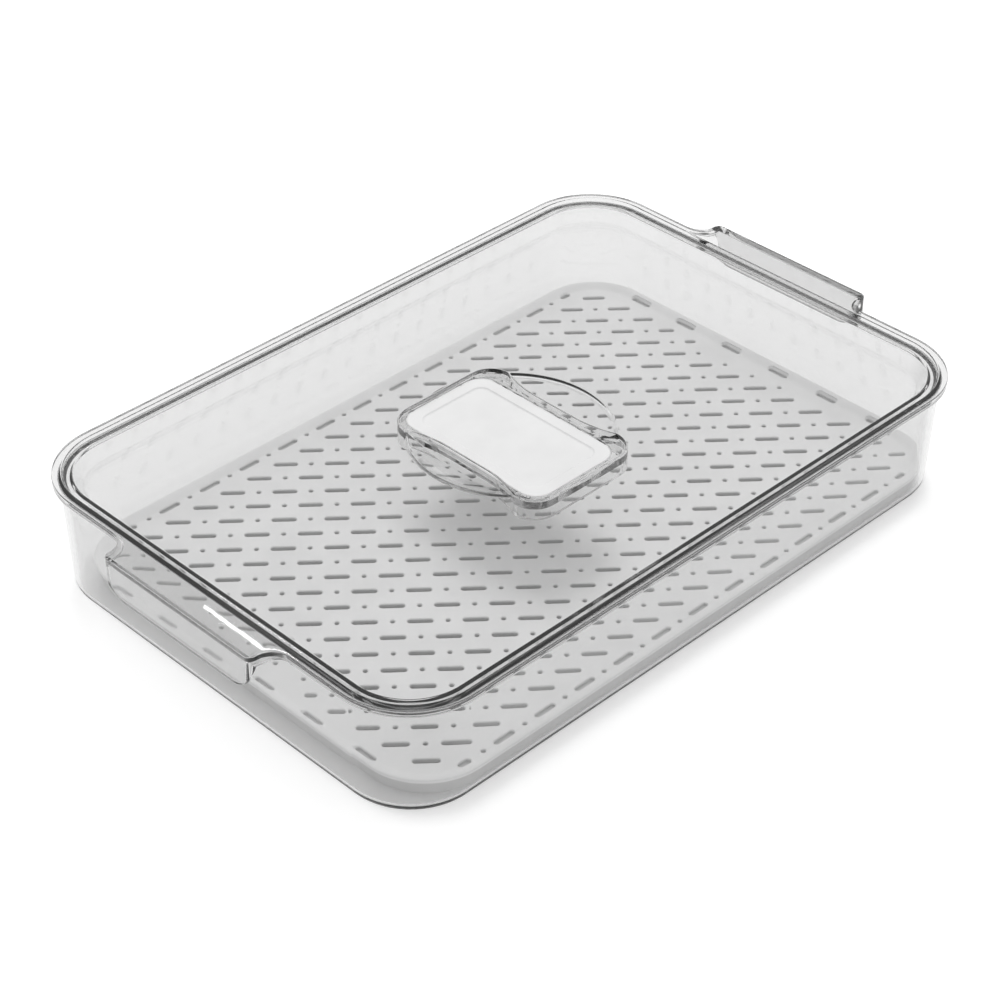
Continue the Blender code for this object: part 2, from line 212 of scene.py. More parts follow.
def loft_into(bm, rings):
    """Skin a stack of equal outlines, each a list of 3-D points, and cap both ends."""
    rows = [[bm.verts.new(point) for point in ring] for ring in rings]
    for lower, upper in zip(rows, rows[1:]):
        for index in range(len(lower)):
            after = (index + 1) % len(lower)
            bm.faces.new((lower[index], lower[after], upper[after], upper[index]))
    bm.faces.new(reversed(rows[0]))
    bm.faces.new(rows[-1])


def finish_mesh(name, bm):
    bmesh.ops.recalc_face_normals(bm, faces=bm.faces)
    mesh = bpy.data.meshes.new(name)
    bm.to_mesh(mesh)
    bm.free()
    mesh.shade_smooth()
    mesh.set_sharp_from_angle(angle=SHARP_ANGLE)
    piece = bpy.data.objects.new(name, mesh)
    bpy.context.scene.collection.objects.link(piece)
    return piece


def loft(name, rings):
    bm = bmesh.new()
    loft_into(bm, rings)
    return finish_mesh(name, bm)


def prism(name, outline, low, high):
    return loft(name, [at_height(outline, low), at_height(outline, high)])


def combine(piece, others):
    """Cut, join or clip a piece by other meshes, in order, and keep only the result."""
    for other, operation in others:
        modifier = piece.modifiers.new(other.name, "BOOLEAN")
        modifier.operation = operation
        modifier.object = other
    graph = bpy.context.evaluated_depsgraph_get()
    mesh = bpy.data.meshes.new_from_object(piece.evaluated_get(graph))
    piece.modifiers.clear()
    old = piece.data
    piece.data = mesh
    bpy.data.meshes.remove(old)
    mesh.name = piece.name
    mesh.shade_smooth()
    mesh.set_sharp_from_angle(angle=SHARP_ANGLE)
    for other, _ in others:
        bpy.data.objects.remove(other, do_unlink=True)
    return piece


def even_shading(piece):
    """Let the large flat faces keep their own normals next to small roundings."""
    normals = piece.modifiers.new("normals", "WEIGHTED_NORMAL")
    normals.weight = 100
    normals.keep_sharp = True
    return piece


# ---------------------------------------------------------------- bin

def smoothstep(t):
    t = min(max(t, 0.0), 1.0)
    return t * t * (3 - 2 * t)


def handle_samples():
    """Points along the +X side of the rim, from -Y to +Y, where the handle stands out.

    Each has its place on the shelf's outer edge, the outward normal there, its share of handle
    (0 on the rim, 1 on the handle), and the height of the tab's lower edge.
    """
    rim, half, corner, flare = RIM_HALF_X, HANDLE_HALF, HANDLE_CORNER, HANDLE_FLARE
    front = rim + HANDLE_REACH
    shelf_low = RIM_TOP - LIP_HEIGHT
    tab_low = RIM_TOP - HANDLE_DROP
    radius = HANDLE_TAB_RADIUS

    def tab_height(y):
        over = abs(y) - (half - radius)
        if over <= 0:
            return tab_low
        return tab_low + radius - math.sqrt(max(radius * radius - over * over, 0.0))

    side_height = tab_height(half)
    samples = []
    steps = 14
    for step in range(steps + 1):
        angle = math.radians(180 - 90 * step / steps)
        place = (rim + flare + flare * math.cos(angle), -half - flare + flare * math.sin(angle))
        normal = (-math.cos(angle), -math.sin(angle))
        share = smoothstep(step / steps * 1.25)
        samples.append((place, normal, share, shelf_low + (side_height - shelf_low) * share))
    for step in range(1, 9):
        angle = math.radians(270 + 90 * step / 8)
        place = (front - corner + corner * math.cos(angle), -half + corner + corner * math.sin(angle))
        samples.append((place, (math.cos(angle), math.sin(angle)), 1.0, tab_height(place[1])))
    straight = half - corner
    curve_start = half - radius
    for step in range(1, 7):
        y = -straight + (straight - curve_start) * step / 6
        samples.append(((front, y), (1.0, 0.0), 1.0, tab_height(y)))
    for step in range(1, 5):
        y = -curve_start * (1 - step / 4)
        samples.append(((front, y), (1.0, 0.0), 1.0, tab_height(y)))
    mirrored = [((x, -y), (nx, -ny), share, z) for (x, y), (nx, ny), share, z in reversed(samples[:-1])]
    return samples + mirrored


def bin_rings():
    """The bin's surface from under the floor, round the rim and handles, to the floor inside."""
    handle = handle_samples()
    lengths = [0.0]
    for (before, *_), (after, *_) in zip(handle, handle[1:]):
        lengths.append(lengths[-1] + math.dist(before, after))
    reach_y = HANDLE_HALF + HANDLE_FLARE
    inner_y = [-reach_y + 2 * reach_y * length / lengths[-1] for length in lengths]

    def half_ring(inset, z, shelf_inset=None, tab_rise=None, bow=False):
        """Half the outline: two corners and the +X side. bow pushes the side out to the handle."""
        half_x, half_y = RIM_HALF_X - inset, RIM_HALF_Y - inset
        radius = RIM_RADIUS - inset * CORNER_FOLLOW
        points = at_height(arc((half_x - radius, -half_y + radius), radius, -90, 0, CORNER_SEGMENTS), z)
        for (place, normal, share, tab_z), y in zip(handle, inner_y):
            if not bow:
                points.append((half_x, y, z))
                continue
            depth = inset + (shelf_inset - inset) * share
            height = z if tab_rise is None else z + (tab_z + tab_rise - z) * share
            points.append((place[0] - normal[0] * depth, place[1] - normal[1] * depth, height))
        points += at_height(arc((half_x - radius, half_y - radius), radius, 0, 90, CORNER_SEGMENTS), z)
        return points

    def ring(*args, **kwargs):
        half = half_ring(*args, **kwargs)
        return half + [(-x, -y, z) for x, y, z in half]

    lip_low = RIM_TOP - LIP_HEIGHT
    seat_z = RIM_TOP - SEAT_DROP
    fine, slight = BIN_ROUNDING, TAB_ROUNDING
    rings = []
    for inset, z in arc((BASE_INSET + BASE_FILLET, BASE_FILLET), BASE_FILLET, 270, 180, 8):
        rings.append(ring(inset, z))
    for inset, z in arc((LIP_OVERHANG - fine, lip_low - fine), fine, 0, 90, 4):
        rings.append(ring(inset, z))
    # Under the shelf, down the tab's inner face, round its lower edge and up the outer face.
    skin = HANDLE_SKIN
    under, mid, last = LIP_UNDERCUT, LIP_UNDERCUT * 3 / 4, LIP_UNDERCUT / 2
    rings.append(ring(under, lip_low, shelf_inset=skin + fine, bow=True))
    rings.append(ring(under - slight / 2, lip_low, shelf_inset=skin + slight, bow=True))
    rings[-1] = lower_handle(rings[-1], lip_low, slight)
    rings.append(ring(under - slight, lip_low, shelf_inset=skin, bow=True))
    rings[-1] = lower_handle(rings[-1], lip_low, fine)
    rings.append(ring(mid, lip_low, shelf_inset=skin, tab_rise=fine, bow=True))
    rings.append(ring(last + slight, lip_low, shelf_inset=skin - slight, tab_rise=slight, bow=True))
    rings.append(ring(last, lip_low, shelf_inset=skin - fine, tab_rise=0.0, bow=True))
    edge, soft = LIP_ROUNDING, SHELF_ROUNDING
    for inset, z in arc((edge, lip_low + edge), edge, 270, 180, 4):
        rings.append(ring(inset, z, shelf_inset=inset, tab_rise=z - lip_low, bow=True))
    for inset, z in arc((1.0, 0.0), 1.0, 180, 90, 5):
        rings.append(
            ring(inset * edge, RIM_TOP - edge * (1 - z), shelf_inset=inset * soft, bow=True)
        )
        rings[-1] = top_handle(rings[-1], RIM_TOP, edge * (1 - z), soft * (1 - z))
    for inset, z in arc((SEAT_INSET - fine, RIM_TOP - fine), fine, 90, 0, 4):
        rings.append(ring(inset, z))
    small = SEAT_ROUNDING
    for inset, z in arc((SEAT_INSET + small, seat_z + small), small, 180, 270, 2):
        rings.append(ring(inset, z))
    lip = SEAT_INSET + SEAT_WIDTH
    for inset, z in arc((lip - small, seat_z - small), small, 90, 0, 3):
        rings.append(ring(inset, z))
    inner = BASE_INSET + WALL
    inner_fillet = BASE_FILLET - WALL
    for inset, z in arc((inner + inner_fillet, FLOOR + inner_fillet), inner_fillet, 180, 270, 6):
        rings.append(ring(inset, z))
    return rings


def on_handle(x, y):
    return abs(x) > RIM_HALF_X - LIP_OVERHANG and abs(y) < HANDLE_HALF + HANDLE_FLARE


def lower_handle(ring, level, drop):
    """Lower the handle's part of a ring, more where it stands further out, up to drop."""
    moved = []
    for x, y, z in ring:
        share = 0.0
        if on_handle(x, y):
            share = smoothstep((HANDLE_HALF + HANDLE_FLARE - abs(y)) / HANDLE_FLARE)
        moved.append((x, y, min(z, level) - drop * share))
    return moved


def top_handle(ring, level, rim_fall, shelf_fall):
    """Give the top edge its larger rounding along the handle."""
    moved = []
    for x, y, z in ring:
        share = 0.0
        if on_handle(x, y):
            share = smoothstep((HANDLE_HALF + HANDLE_FLARE - abs(y)) / HANDLE_FLARE)
        moved.append((x, y, level - rim_fall - (shelf_fall - rim_fall) * share))
    return moved


def make_bin():
    return even_shading(loft("bin_clear", bin_rings()))


# ---------------------------------------------------------------- lid

def lid_rings():
    flange_inset = SEAT_INSET + GAP
    flange_low = FLANGE_TOP - LID_SKIN
    slope = math.hypot(LID_WALL_RUN, LID_WALL_DROP)
    panel_inset = flange_inset + FLANGE_WIDTH + LID_WALL_RUN
    out = LID_SKIN * slope / LID_WALL_DROP
    lean = LID_WALL_RUN / LID_WALL_DROP
    fine = LID_ROUNDING
    under_inset = panel_inset - out + LID_SKIN * lean
    foot_inset = panel_inset - out - (LID_WALL_DROP - LID_SKIN) * lean
    section = [
        (under_inset + fine, PANEL_TOP - LID_SKIN),
        (under_inset + fine * 0.3, PANEL_TOP - LID_SKIN + fine * 0.15),
        (under_inset - fine * lean, PANEL_TOP - LID_SKIN + fine),
        (foot_inset + fine * lean, flange_low - fine),
        (foot_inset, flange_low - fine * 0.15),
        (foot_inset - fine, flange_low),
    ]
    section += arc((flange_inset + fine, flange_low + fine), fine, 270, 180, 3)
    section += arc((flange_inset + fine, FLANGE_TOP - fine), fine, 180, 90, 3)
    inner = flange_inset + FLANGE_WIDTH
    section += [
        (inner - fine, FLANGE_TOP),
        (inner, FLANGE_TOP - fine * 0.2),
        (inner + fine * lean, FLANGE_TOP - fine),
        (panel_inset - fine * lean * 1.5, PANEL_TOP + fine * 1.5),
        (panel_inset, PANEL_TOP + fine * 0.3),
        (panel_inset + fine * 1.5, PANEL_TOP),
    ]
    rings = []
    for inset, z in section:
        radius = RIM_RADIUS - inset * CORNER_FOLLOW
        rings.append(at_height(rounded_rectangle(RIM_HALF_X - inset, RIM_HALF_Y - inset, radius), z))
    return rings


def grip_plan(inset=0.0):
    """The waisted outline of the grip bar from above."""
    half_y = GRIP_HALF_LENGTH - inset
    end_x = GRIP_END_HALF_WIDTH - inset
    waist_x = GRIP_WAIST_HALF_WIDTH - inset
    corner = GRIP_CORNER - inset
    shoulder_y = half_y - corner
    run = shoulder_y - GRIP_WAIST_STRAIGHT
    rise = end_x - waist_x
    radius = (run * run + rise * rise) / (2 * rise)
    sweep = math.degrees(math.asin(run / radius))
    outline = []
    for sign in (1, -1):
        side = arc((waist_x + radius, -GRIP_WAIST_STRAIGHT), radius, 180 + sweep, 180, 12)
        side += arc((waist_x + radius, GRIP_WAIST_STRAIGHT), radius, 180, 180 - sweep, 12)
        side += arc((end_x - corner, shoulder_y), corner, 0, 90, 12)[1:]
        side += arc((-end_x + corner, shoulder_y), corner, 90, 180, 12)[:-1]
        outline += [(sign * x, sign * y) for x, y in side]
    return outline


def well_rings(grow, steps=12, sides=128):
    """The round well as a stack of circles, from its floor up to the panel."""
    rings = []
    for step in range(steps, -1, -1):
        share = step / steps
        radius = WELL_RADIUS + (WELL_FLOOR_RADIUS - WELL_RADIUS) * share + grow / 2
        height = PANEL_TOP - WELL_DEPTH * math.sin(math.pi / 2 * share) - grow
        rings.append(at_height(circle(radius, sides), height))
    return rings


def well_cutter():
    """The well's inside, with the panel's edge rounded over round it."""
    rings = well_rings(0.0)[:-1]
    for outward, drop in WELL_EDGE:
        rings.append(at_height(circle(WELL_RADIUS + outward * MM, 128), PANEL_TOP - drop * MM))
    rings.append([(x, y, z + OVERCUT) for x, y, z in rings[-1]])
    return loft("well_inside", rings)


def flared_cutter(name, outline_at, low, top, flare, segments=3):
    """A cutter whose mouth opens out, so that it leaves a rounded edge.

    outline_at gives the outline at an inset.
    """
    rings = [at_height(outline_at(0.0), low)]
    for outward, rise in arc((flare, -flare), flare, 180, 90, segments):
        rings.append(at_height(outline_at(-outward), top + rise))
    rings.append([(x, y, z + OVERCUT) for x, y, z in rings[-1]])
    return loft(name, rings)


def insert_outline(inset, radius):
    """The insert's plan, or its pocket's for an inset below zero."""
    outline = rounded_rectangle(insert_half.x - inset, insert_half.y - inset, radius, 12)
    return [(insert_middle.x + x, insert_middle.y + y) for x, y in outline]


def leg_places():
    """Where the insert's legs stand, and which way each one's hook points."""
    half_x, half_y = LEG_HALF_SPREAD
    return [
        (insert_middle.x + along * half_x, insert_middle.y + outward * half_y, outward)
        for outward in (-1, 1)
        for along in (-1, 1)
    ]


def make_lid():
    lid = loft("lid_clear", lid_rings())
    well_low = PANEL_TOP - WELL_DEPTH
    deck = PANEL_TOP - GRIP_DECK_DROP
    seat = deck - INSERT_THICKNESS - GAP
    edge, fine = BAR_ROUNDING, POCKET_ROUNDING

    bar = [at_height(grip_plan(), well_low - LID_SKIN)]
    for inset, drop in arc((edge, -edge), edge, 180, 90, 5):
        bar.append(at_height(grip_plan(inset), PANEL_TOP + drop))

    def pocket(inset):
        return insert_outline(inset - GAP, INSERT_RADIUS + GAP - inset)

    steps = [
        (loft("well_outside", well_rings(LID_SKIN)), "UNION"),
        (well_cutter(), "DIFFERENCE"),
        (loft("grip_bar", bar), "UNION"),
        (
            flared_cutter("grip_top", lambda inset: grip_plan(GRIP_RIM + inset), deck, PANEL_TOP, fine),
            "DIFFERENCE",
        ),
        (flared_cutter("insert_pocket", pocket, seat, deck, fine), "DIFFERENCE"),
        (
            prism("grip_hollow", grip_plan(LID_SKIN), well_low - LID_SKIN - OVERCUT, seat - LID_SKIN),
            "DIFFERENCE",
        ),
    ]
    for number, (x, y, _) in enumerate(leg_places()):
        hole = rounded_rectangle(LEG_SIZE[0] / 2 + GAP, LEG_SIZE[1] / 2 + 2 * GAP, GAP, 2)
        hole = [(x + dx, y + dy) for dx, dy in hole]
        cutter = prism(f"leg_hole_{number}", hole, seat - LID_SKIN - OVERCUT, seat + OVERCUT / 4)
        steps.append((cutter, "DIFFERENCE"))
    return even_shading(combine(lid, steps))


# ---------------------------------------------------------------- insert

def make_insert():
    low = insert_high.z - INSERT_THICKNESS
    top = insert_high.z
    fine = INSERT_ROUNDING
    section = [(0.0, low)]
    section += arc((fine, top - fine), fine, 180, 90, 4)
    section += arc((INSERT_DISH_INSET - fine, top - fine), fine, 90, 30, 3)
    section += [
        (INSERT_DISH_INSET + fine * 0.6, top - INSERT_DISH_DEPTH),
        (INSERT_DISH_INSET + fine * 1.2, top - INSERT_DISH_DEPTH),
    ]
    rings = []
    for inset, z in section:
        rings.append(at_height(insert_outline(inset, INSERT_RADIUS - inset * 0.6), z))
    plate = loft("insert_plate", rings)
    legs = []
    for number, (x, y, outward) in enumerate(leg_places()):
        half_x, half_y = LEG_SIZE[0] / 2, LEG_SIZE[1] / 2
        profile = [
            (-half_y, low + BITE),
            (-half_y, low - LEG_LENGTH),
            (half_y, low - LEG_LENGTH),
            (half_y + 2 * GAP, low - LEG_LENGTH + BITE),
            (half_y, low - LEG_LENGTH + 2 * BITE),
            (half_y, low + BITE),
        ]
        rings = [[(x + dx, y + outward * dy, z) for dy, z in profile] for dx in (-half_x, half_x)]
        legs.append((loft(f"leg_{number}", rings), "UNION"))
    combine(plate, legs)
    return even_shading(plate)


# ---------------------------------------------------------------- tray

def capsule(x, y, direction, length, width, segments=5):
    """A slot with round ends about (x, y), along a unit direction."""
    angle = math.degrees(math.atan2(direction[1], direction[0]))
    reach = max(length - width, 0.0) / 2
    run_x, run_y = direction[0] * reach, direction[1] * reach
    points = arc((x + run_x, y + run_y), width / 2, angle - 90, angle + 90, segments)
    end = arc((x - run_x, y - run_y), width / 2, angle + 90, angle + 270, segments)
    return points + (end if reach > 0 else end[1:-1])


def slanting_slots():
    """Slots and weep holes in slanting lines, trimmed where a line leaves the field."""
    run, fall = SLOT_PITCH + SLOT_ROW_SHIFT, -SLOT_ROW_STEP
    size = math.hypot(run, fall)
    direction = (run / size, fall / size)
    half_run = SLOT_LENGTH / 2 * direction[0]
    columns = int(SLOT_FIELD_HALF / SLOT_PITCH) + 2
    outlines = []
    for row in range(-SLOT_ROWS_EACH_WAY, SLOT_ROWS_EACH_WAY + 1):
        for column in range(-columns, columns + 1):
            x = column * SLOT_PITCH + row * SLOT_ROW_SHIFT
            y = -row * SLOT_ROW_STEP
            dot_x, dot_y = x + run / 2, y + fall / 2
            if row < SLOT_ROWS_EACH_WAY and abs(dot_x) < SLOT_FIELD_HALF:
                outlines.append(capsule(dot_x, dot_y, direction, 0.0, DOT_WIDTH))
            low = max(x - half_run, -SLOT_FIELD_HALF)
            high = min(x + half_run, SLOT_FIELD_HALF)
            length = (high - low) / direction[0]
            if length < SHORTEST_SLOT:
                continue
            middle = (low + high) / 2
            slot_y = y + (middle - x) * direction[1] / direction[0]
            outlines.append(capsule(middle, slot_y, direction, length, SLOT_WIDTH))
    return outlines


def edge_slots():
    outlines = []
    for side in (1, -1):
        y = side * LONG_EDGE_SLOT_Y
        for place in range(-LONG_EDGE_EACH_WAY, LONG_EDGE_EACH_WAY + 1):
            outlines.append(capsule(place * LONG_EDGE_PITCH, y, (1.0, 0.0), SLOT_LENGTH, SLOT_WIDTH))
        for place in range(-LONG_EDGE_EACH_WAY - 1, LONG_EDGE_EACH_WAY + 1):
            outlines.append(capsule((place + 0.5) * LONG_EDGE_PITCH, y, (1.0, 0.0), 0.0, DOT_WIDTH))
        for end in (1, -1):
            outlines.append(capsule(end * LONG_EDGE_END[0], y, (1.0, 0.0), LONG_EDGE_END[1], SLOT_WIDTH))
        for place in SHORT_EDGE_PLACES:
            outlines.append(capsule(side * SHORT_EDGE_SLOT_X, place, (0.0, 1.0), SLOT_LENGTH, SLOT_WIDTH))
    return outlines


def foot_places():
    """Feet stand midway between two slanting lines of slots, nearest to an even spread."""
    places = []
    for wanted_x in FOOT_COLUMNS:
        for wanted_y in FOOT_ROWS:
            row = round(-wanted_y / SLOT_ROW_STEP)
            start = row * SLOT_ROW_SHIFT + SLOT_PITCH / 2
            column = round((wanted_x - start) / SLOT_PITCH)
            places.append((start + column * SLOT_PITCH, -row * SLOT_ROW_STEP))
    return places


def grown(outline, growth):
    """An outline moved outward by growth."""
    points = []
    count = len(outline)
    for index, (x, y) in enumerate(outline):
        before, after = outline[index - 1], outline[(index + 1) % count]
        dx, dy = after[0] - before[0], after[1] - before[1]
        size = math.hypot(dx, dy)
        points.append((x + dy / size * growth, y - dx / size * growth))
    return points


def make_tray():
    underside = TRAY_TOP - TRAY_SKIN
    lip_top = tray_high.z
    fine = TRAY_ROUNDING
    foot = tray_low.z
    inner = SKIRT_WIDTH + SKIRT_DRAFT / 2
    section = [
        (inner + fine, underside),
        (inner + fine / 4, underside - fine),
        (SKIRT_WIDTH + SKIRT_DRAFT, foot + fine / 2),
        (SKIRT_WIDTH + SKIRT_DRAFT - fine / 2, foot),
        (SKIRT_DRAFT + fine / 2, foot),
        (SKIRT_DRAFT - fine / 8, foot + fine / 2),
    ]
    section += arc((fine, lip_top - fine), fine, 180, 90, 4)
    # The lip runs down to the plate in an S, so gently that it hardly shades.
    run = 3 * TRAY_LIP_WIDTH
    for step in range(9):
        share = step / 8
        section.append((2 * fine + run * share, lip_top - TRAY_LIP_HEIGHT * smoothstep(share)))
    rings = []
    for inset, z in section:
        outline = rounded_rectangle(tray_half.x - inset, tray_half.y - inset, TRAY_RADIUS - inset)
        rings.append(at_height(outline, z))
    tray = loft("tray_plate", rings)

    chamfer = SLOT_CHAMFER
    cuts = bmesh.new()
    for outlines, low in (
        (slanting_slots(), underside - OVERCUT / 4),
        (edge_slots(), TRAY_TOP - EDGE_SLOT_DEPTH),
    ):
        for outline in outlines:
            wide = grown(outline, chamfer * 2)
            loft_into(
                cuts,
                [
                    at_height(outline, low),
                    at_height(outline, TRAY_TOP - chamfer),
                    at_height(wide, TRAY_TOP + chamfer),
                    at_height(wide, TRAY_TOP + OVERCUT),
                ],
            )
    feet = bmesh.new()
    for x, y in foot_places():
        ring = [(x + dx, y + dy) for dx, dy in circle(FOOT_RADIUS, 24)]
        tip = [(x + dx, y + dy) for dx, dy in circle(FOOT_RADIUS - fine, 24)]
        loft_into(
            feet,
            [
                at_height(tip, tray_low.z),
                at_height(ring, tray_low.z + fine),
                at_height(ring, underside + BITE),
            ],
        )
    combine(tray, [(finish_mesh("slots", cuts), "DIFFERENCE"), (finish_mesh("feet", feet), "UNION")])
    tray.data.transform(Matrix.Translation((tray_middle.x, tray_middle.y, 0.0)))
    return even_shading(tray)


# ---------------------------------------------------------------- materials

def new_material(name):
    material = bpy.data.materials.new(name)
    material.use_nodes = True
    tree = material.node_tree
    return material, tree, tree.nodes["Principled BSDF"]


def add_noise(tree, scale, detail=3.0):
    coordinates = tree.nodes.new("ShaderNodeTexCoord")
    noise = tree.nodes.new("ShaderNodeTexNoise")
    noise.inputs["Scale"].default_value = scale
    noise.inputs["Detail"].default_value = detail
    tree.links.new(coordinates.outputs["Object"], noise.inputs["Vector"])
    return noise


def add_bump(tree, shader, noise, strength, distance):
    bump = tree.nodes.new("ShaderNodeBump")
    bump.inputs["Strength"].default_value = strength
    bump.inputs["Distance"].default_value = distance
    tree.links.new(noise.outputs["Fac"], bump.inputs["Height"])
    tree.links.new(bump.outputs["Normal"], shader.inputs["Normal"])


def spread(tree, noise, socket, low, high):
    """Drive a socket from low to high by a noise."""
    remap = tree.nodes.new("ShaderNodeMapRange")
    remap.inputs["From Min"].default_value = 0.3
    remap.inputs["From Max"].default_value = 0.7
    remap.inputs["To Min"].default_value = low
    remap.inputs["To Max"].default_value = high
    tree.links.new(noise.outputs["Fac"], remap.inputs["Value"])
    tree.links.new(remap.outputs["Result"], socket)


def clear_plastic(name, tint, density):
    """Clear moulded plastic that is darker along its edges, where the way through it is longer."""
    material, tree, shader = new_material(name)
    shader.inputs["Base Color"].default_value = (*tint, 1.0)
    shader.inputs["Transmission Weight"].default_value = 1.0
    shader.inputs["IOR"].default_value = PLASTIC_IOR
    shader.inputs["Roughness"].default_value = 0.02
    add_bump(tree, shader, add_noise(tree, 45.0, 1.0), 0.05, 0.2 * MM)
    # Lamps shine through the clear walls, and what is inside lights its surroundings through them.
    path = tree.nodes.new("ShaderNodeLightPath")
    through = tree.nodes.new("ShaderNodeBsdfTransparent")
    through.inputs["Color"].default_value = (0.97, 0.97, 0.97, 1.0)
    surface = shader.outputs["BSDF"]
    for ray in ("Is Diffuse Ray", "Is Shadow Ray"):
        mix = tree.nodes.new("ShaderNodeMixShader")
        tree.links.new(path.outputs[ray], mix.inputs["Fac"])
        tree.links.new(surface, mix.inputs[1])
        tree.links.new(through.outputs["BSDF"], mix.inputs[2])
        surface = mix.outputs["Shader"]
    output = tree.nodes["Material Output"]
    tree.links.new(surface, output.inputs["Surface"])
    inside = tree.nodes.new("ShaderNodeVolumeAbsorption")
    inside.inputs["Color"].default_value = (*ABSORPTION_GREY, 1.0)
    inside.inputs["Density"].default_value = density
    tree.links.new(inside.outputs["Volume"], output.inputs["Volume"])
    return material


def moulded_white(name, light, dark, roughness, grain, painted_shade_below=None):
    """Matt white moulding with a faint mottle. Below a given height, shade is painted into the colour, so
    it is darker there.
    """
    material, tree, shader = new_material(name)
    mottle = add_noise(tree, 60.0)
    ramp = tree.nodes.new("ShaderNodeValToRGB")
    ramp.color_ramp.elements[0].position = 0.35
    ramp.color_ramp.elements[0].color = (*dark, 1.0)
    ramp.color_ramp.elements[1].position = 0.65
    ramp.color_ramp.elements[1].color = (*light, 1.0)
    tree.links.new(mottle.outputs["Fac"], ramp.inputs["Fac"])
    colour = ramp.outputs["Color"]
    # Painted shade: below the height the colour is scaled darker, as shade in the slots, recesses and
    # skirt.
    if painted_shade_below is not None:
        place = tree.nodes.new("ShaderNodeTexCoord")
        height = tree.nodes.new("ShaderNodeSeparateXYZ")
        tree.links.new(place.outputs["Object"], height.inputs["Vector"])
        painted_shade_ramp = tree.nodes.new("ShaderNodeMapRange")
        painted_shade_ramp.inputs["From Min"].default_value = painted_shade_below - PAINTED_SHADE_FADE
        painted_shade_ramp.inputs["From Max"].default_value = painted_shade_below
        painted_shade_ramp.inputs["To Min"].default_value = PAINTED_SHADE_SHARE
        painted_shade_ramp.inputs["To Max"].default_value = 1.0
        tree.links.new(height.outputs["Z"], painted_shade_ramp.inputs["Value"])
        shade = tree.nodes.new("ShaderNodeVectorMath")
        shade.operation = "SCALE"
        tree.links.new(colour, shade.inputs[0])
        tree.links.new(painted_shade_ramp.outputs["Result"], shade.inputs["Scale"])
        colour = shade.outputs["Vector"]
    tree.links.new(colour, shader.inputs["Base Color"])
    spread(tree, add_noise(tree, 220.0), shader.inputs["Roughness"], roughness - 0.06, roughness + 0.06)
    add_bump(tree, shader, add_noise(tree, grain), 0.15, 0.05 * MM)
    return material


# ---------------------------------------------------------------- studio

def make_floor():
    bm = bmesh.new()
    bmesh.ops.create_circle(bm, cap_ends=True, segments=96, radius=FLOOR_RADIUS)
    floor = finish_mesh("studio_floor", bm)
    floor.location.z = -FLOOR_DROP
    material, tree, shader = new_material("floor_white")
    shader.inputs["Base Color"].default_value = (0.93, 0.93, 0.93, 1.0)
    shader.inputs["Roughness"].default_value = 0.9
    shader.inputs["Specular IOR Level"].default_value = 0.1
    shader.inputs["Emission Color"].default_value = (1.0, 1.0, 1.0, 1.0)
    # The floor glows a little all round the bin, but not under it.
    coordinates = tree.nodes.new("ShaderNodeTexCoord")
    split = tree.nodes.new("ShaderNodeSeparateXYZ")
    tree.links.new(coordinates.outputs["Object"], split.inputs["Vector"])
    outside = []
    for axis, half in (("X", tray_half.x - GLOW_INSET), ("Y", tray_half.y - GLOW_INSET)):
        away = tree.nodes.new("ShaderNodeMath")
        away.operation = "ABSOLUTE"
        tree.links.new(split.outputs[axis], away.inputs[0])
        beyond = tree.nodes.new("ShaderNodeMath")
        beyond.operation = "GREATER_THAN"
        beyond.inputs[1].default_value = half
        tree.links.new(away.outputs["Value"], beyond.inputs[0])
        outside.append(beyond)
    either = tree.nodes.new("ShaderNodeMath")
    either.operation = "MAXIMUM"
    for beyond, socket in zip(outside, either.inputs):
        tree.links.new(beyond.outputs["Value"], socket)
    glow = tree.nodes.new("ShaderNodeMath")
    glow.operation = "MULTIPLY"
    glow.inputs[1].default_value = FLOOR_GLOW
    tree.links.new(either.outputs["Value"], glow.inputs[0])
    tree.links.new(glow.outputs["Value"], shader.inputs["Emission Strength"])
    floor.data.materials.append(material)


def make_world():
    """A bright dome over a dark band at the horizon, which draws the dark lines in clear edges.

    The band is high on the left and low on the right.
    """
    world = bpy.data.worlds.new("studio")
    bpy.context.scene.world = world
    world.use_nodes = True
    tree = world.node_tree
    background = tree.nodes["Background"]
    coordinates = tree.nodes.new("ShaderNodeTexCoord")
    split = tree.nodes.new("ShaderNodeSeparateXYZ")
    ramp = tree.nodes.new("ShaderNodeValToRGB")
    for element, (position, level) in zip(ramp.color_ramp.elements, BAND_LEVELS):
        element.position = position
        element.color = (level, level, level, 1.0)
    tree.links.new(coordinates.outputs["Generated"], split.inputs["Vector"])
    leftward = tree.nodes.new("ShaderNodeVectorMath")
    leftward.operation = "DOT_PRODUCT"
    leftward.inputs[1].default_value = BAND_SLOPE
    tree.links.new(coordinates.outputs["Generated"], leftward.inputs[0])
    raised = tree.nodes.new("ShaderNodeMath")
    raised.operation = "ADD"
    raised.inputs[1].default_value = BAND_LIFT
    tree.links.new(split.outputs["Z"], raised.inputs[0])
    lowered = tree.nodes.new("ShaderNodeMath")
    lowered.operation = "SUBTRACT"
    tree.links.new(raised.outputs["Value"], lowered.inputs[0])
    tree.links.new(leftward.outputs["Value"], lowered.inputs[1])
    tree.links.new(lowered.outputs["Value"], ramp.inputs["Fac"])
    # The band stands outside the picture, as a photographer's dark screens do: the backdrop is pale.
    path = tree.nodes.new("ShaderNodeLightPath")
    backdrop = tree.nodes.new("ShaderNodeMath")
    backdrop.operation = "MAXIMUM"
    tree.links.new(ramp.outputs["Color"], backdrop.inputs[0])
    tree.links.new(path.outputs["Is Camera Ray"], backdrop.inputs[1])
    tree.links.new(backdrop.outputs["Value"], background.inputs["Color"])
    background.inputs["Strength"].default_value = DOME_STRENGTH


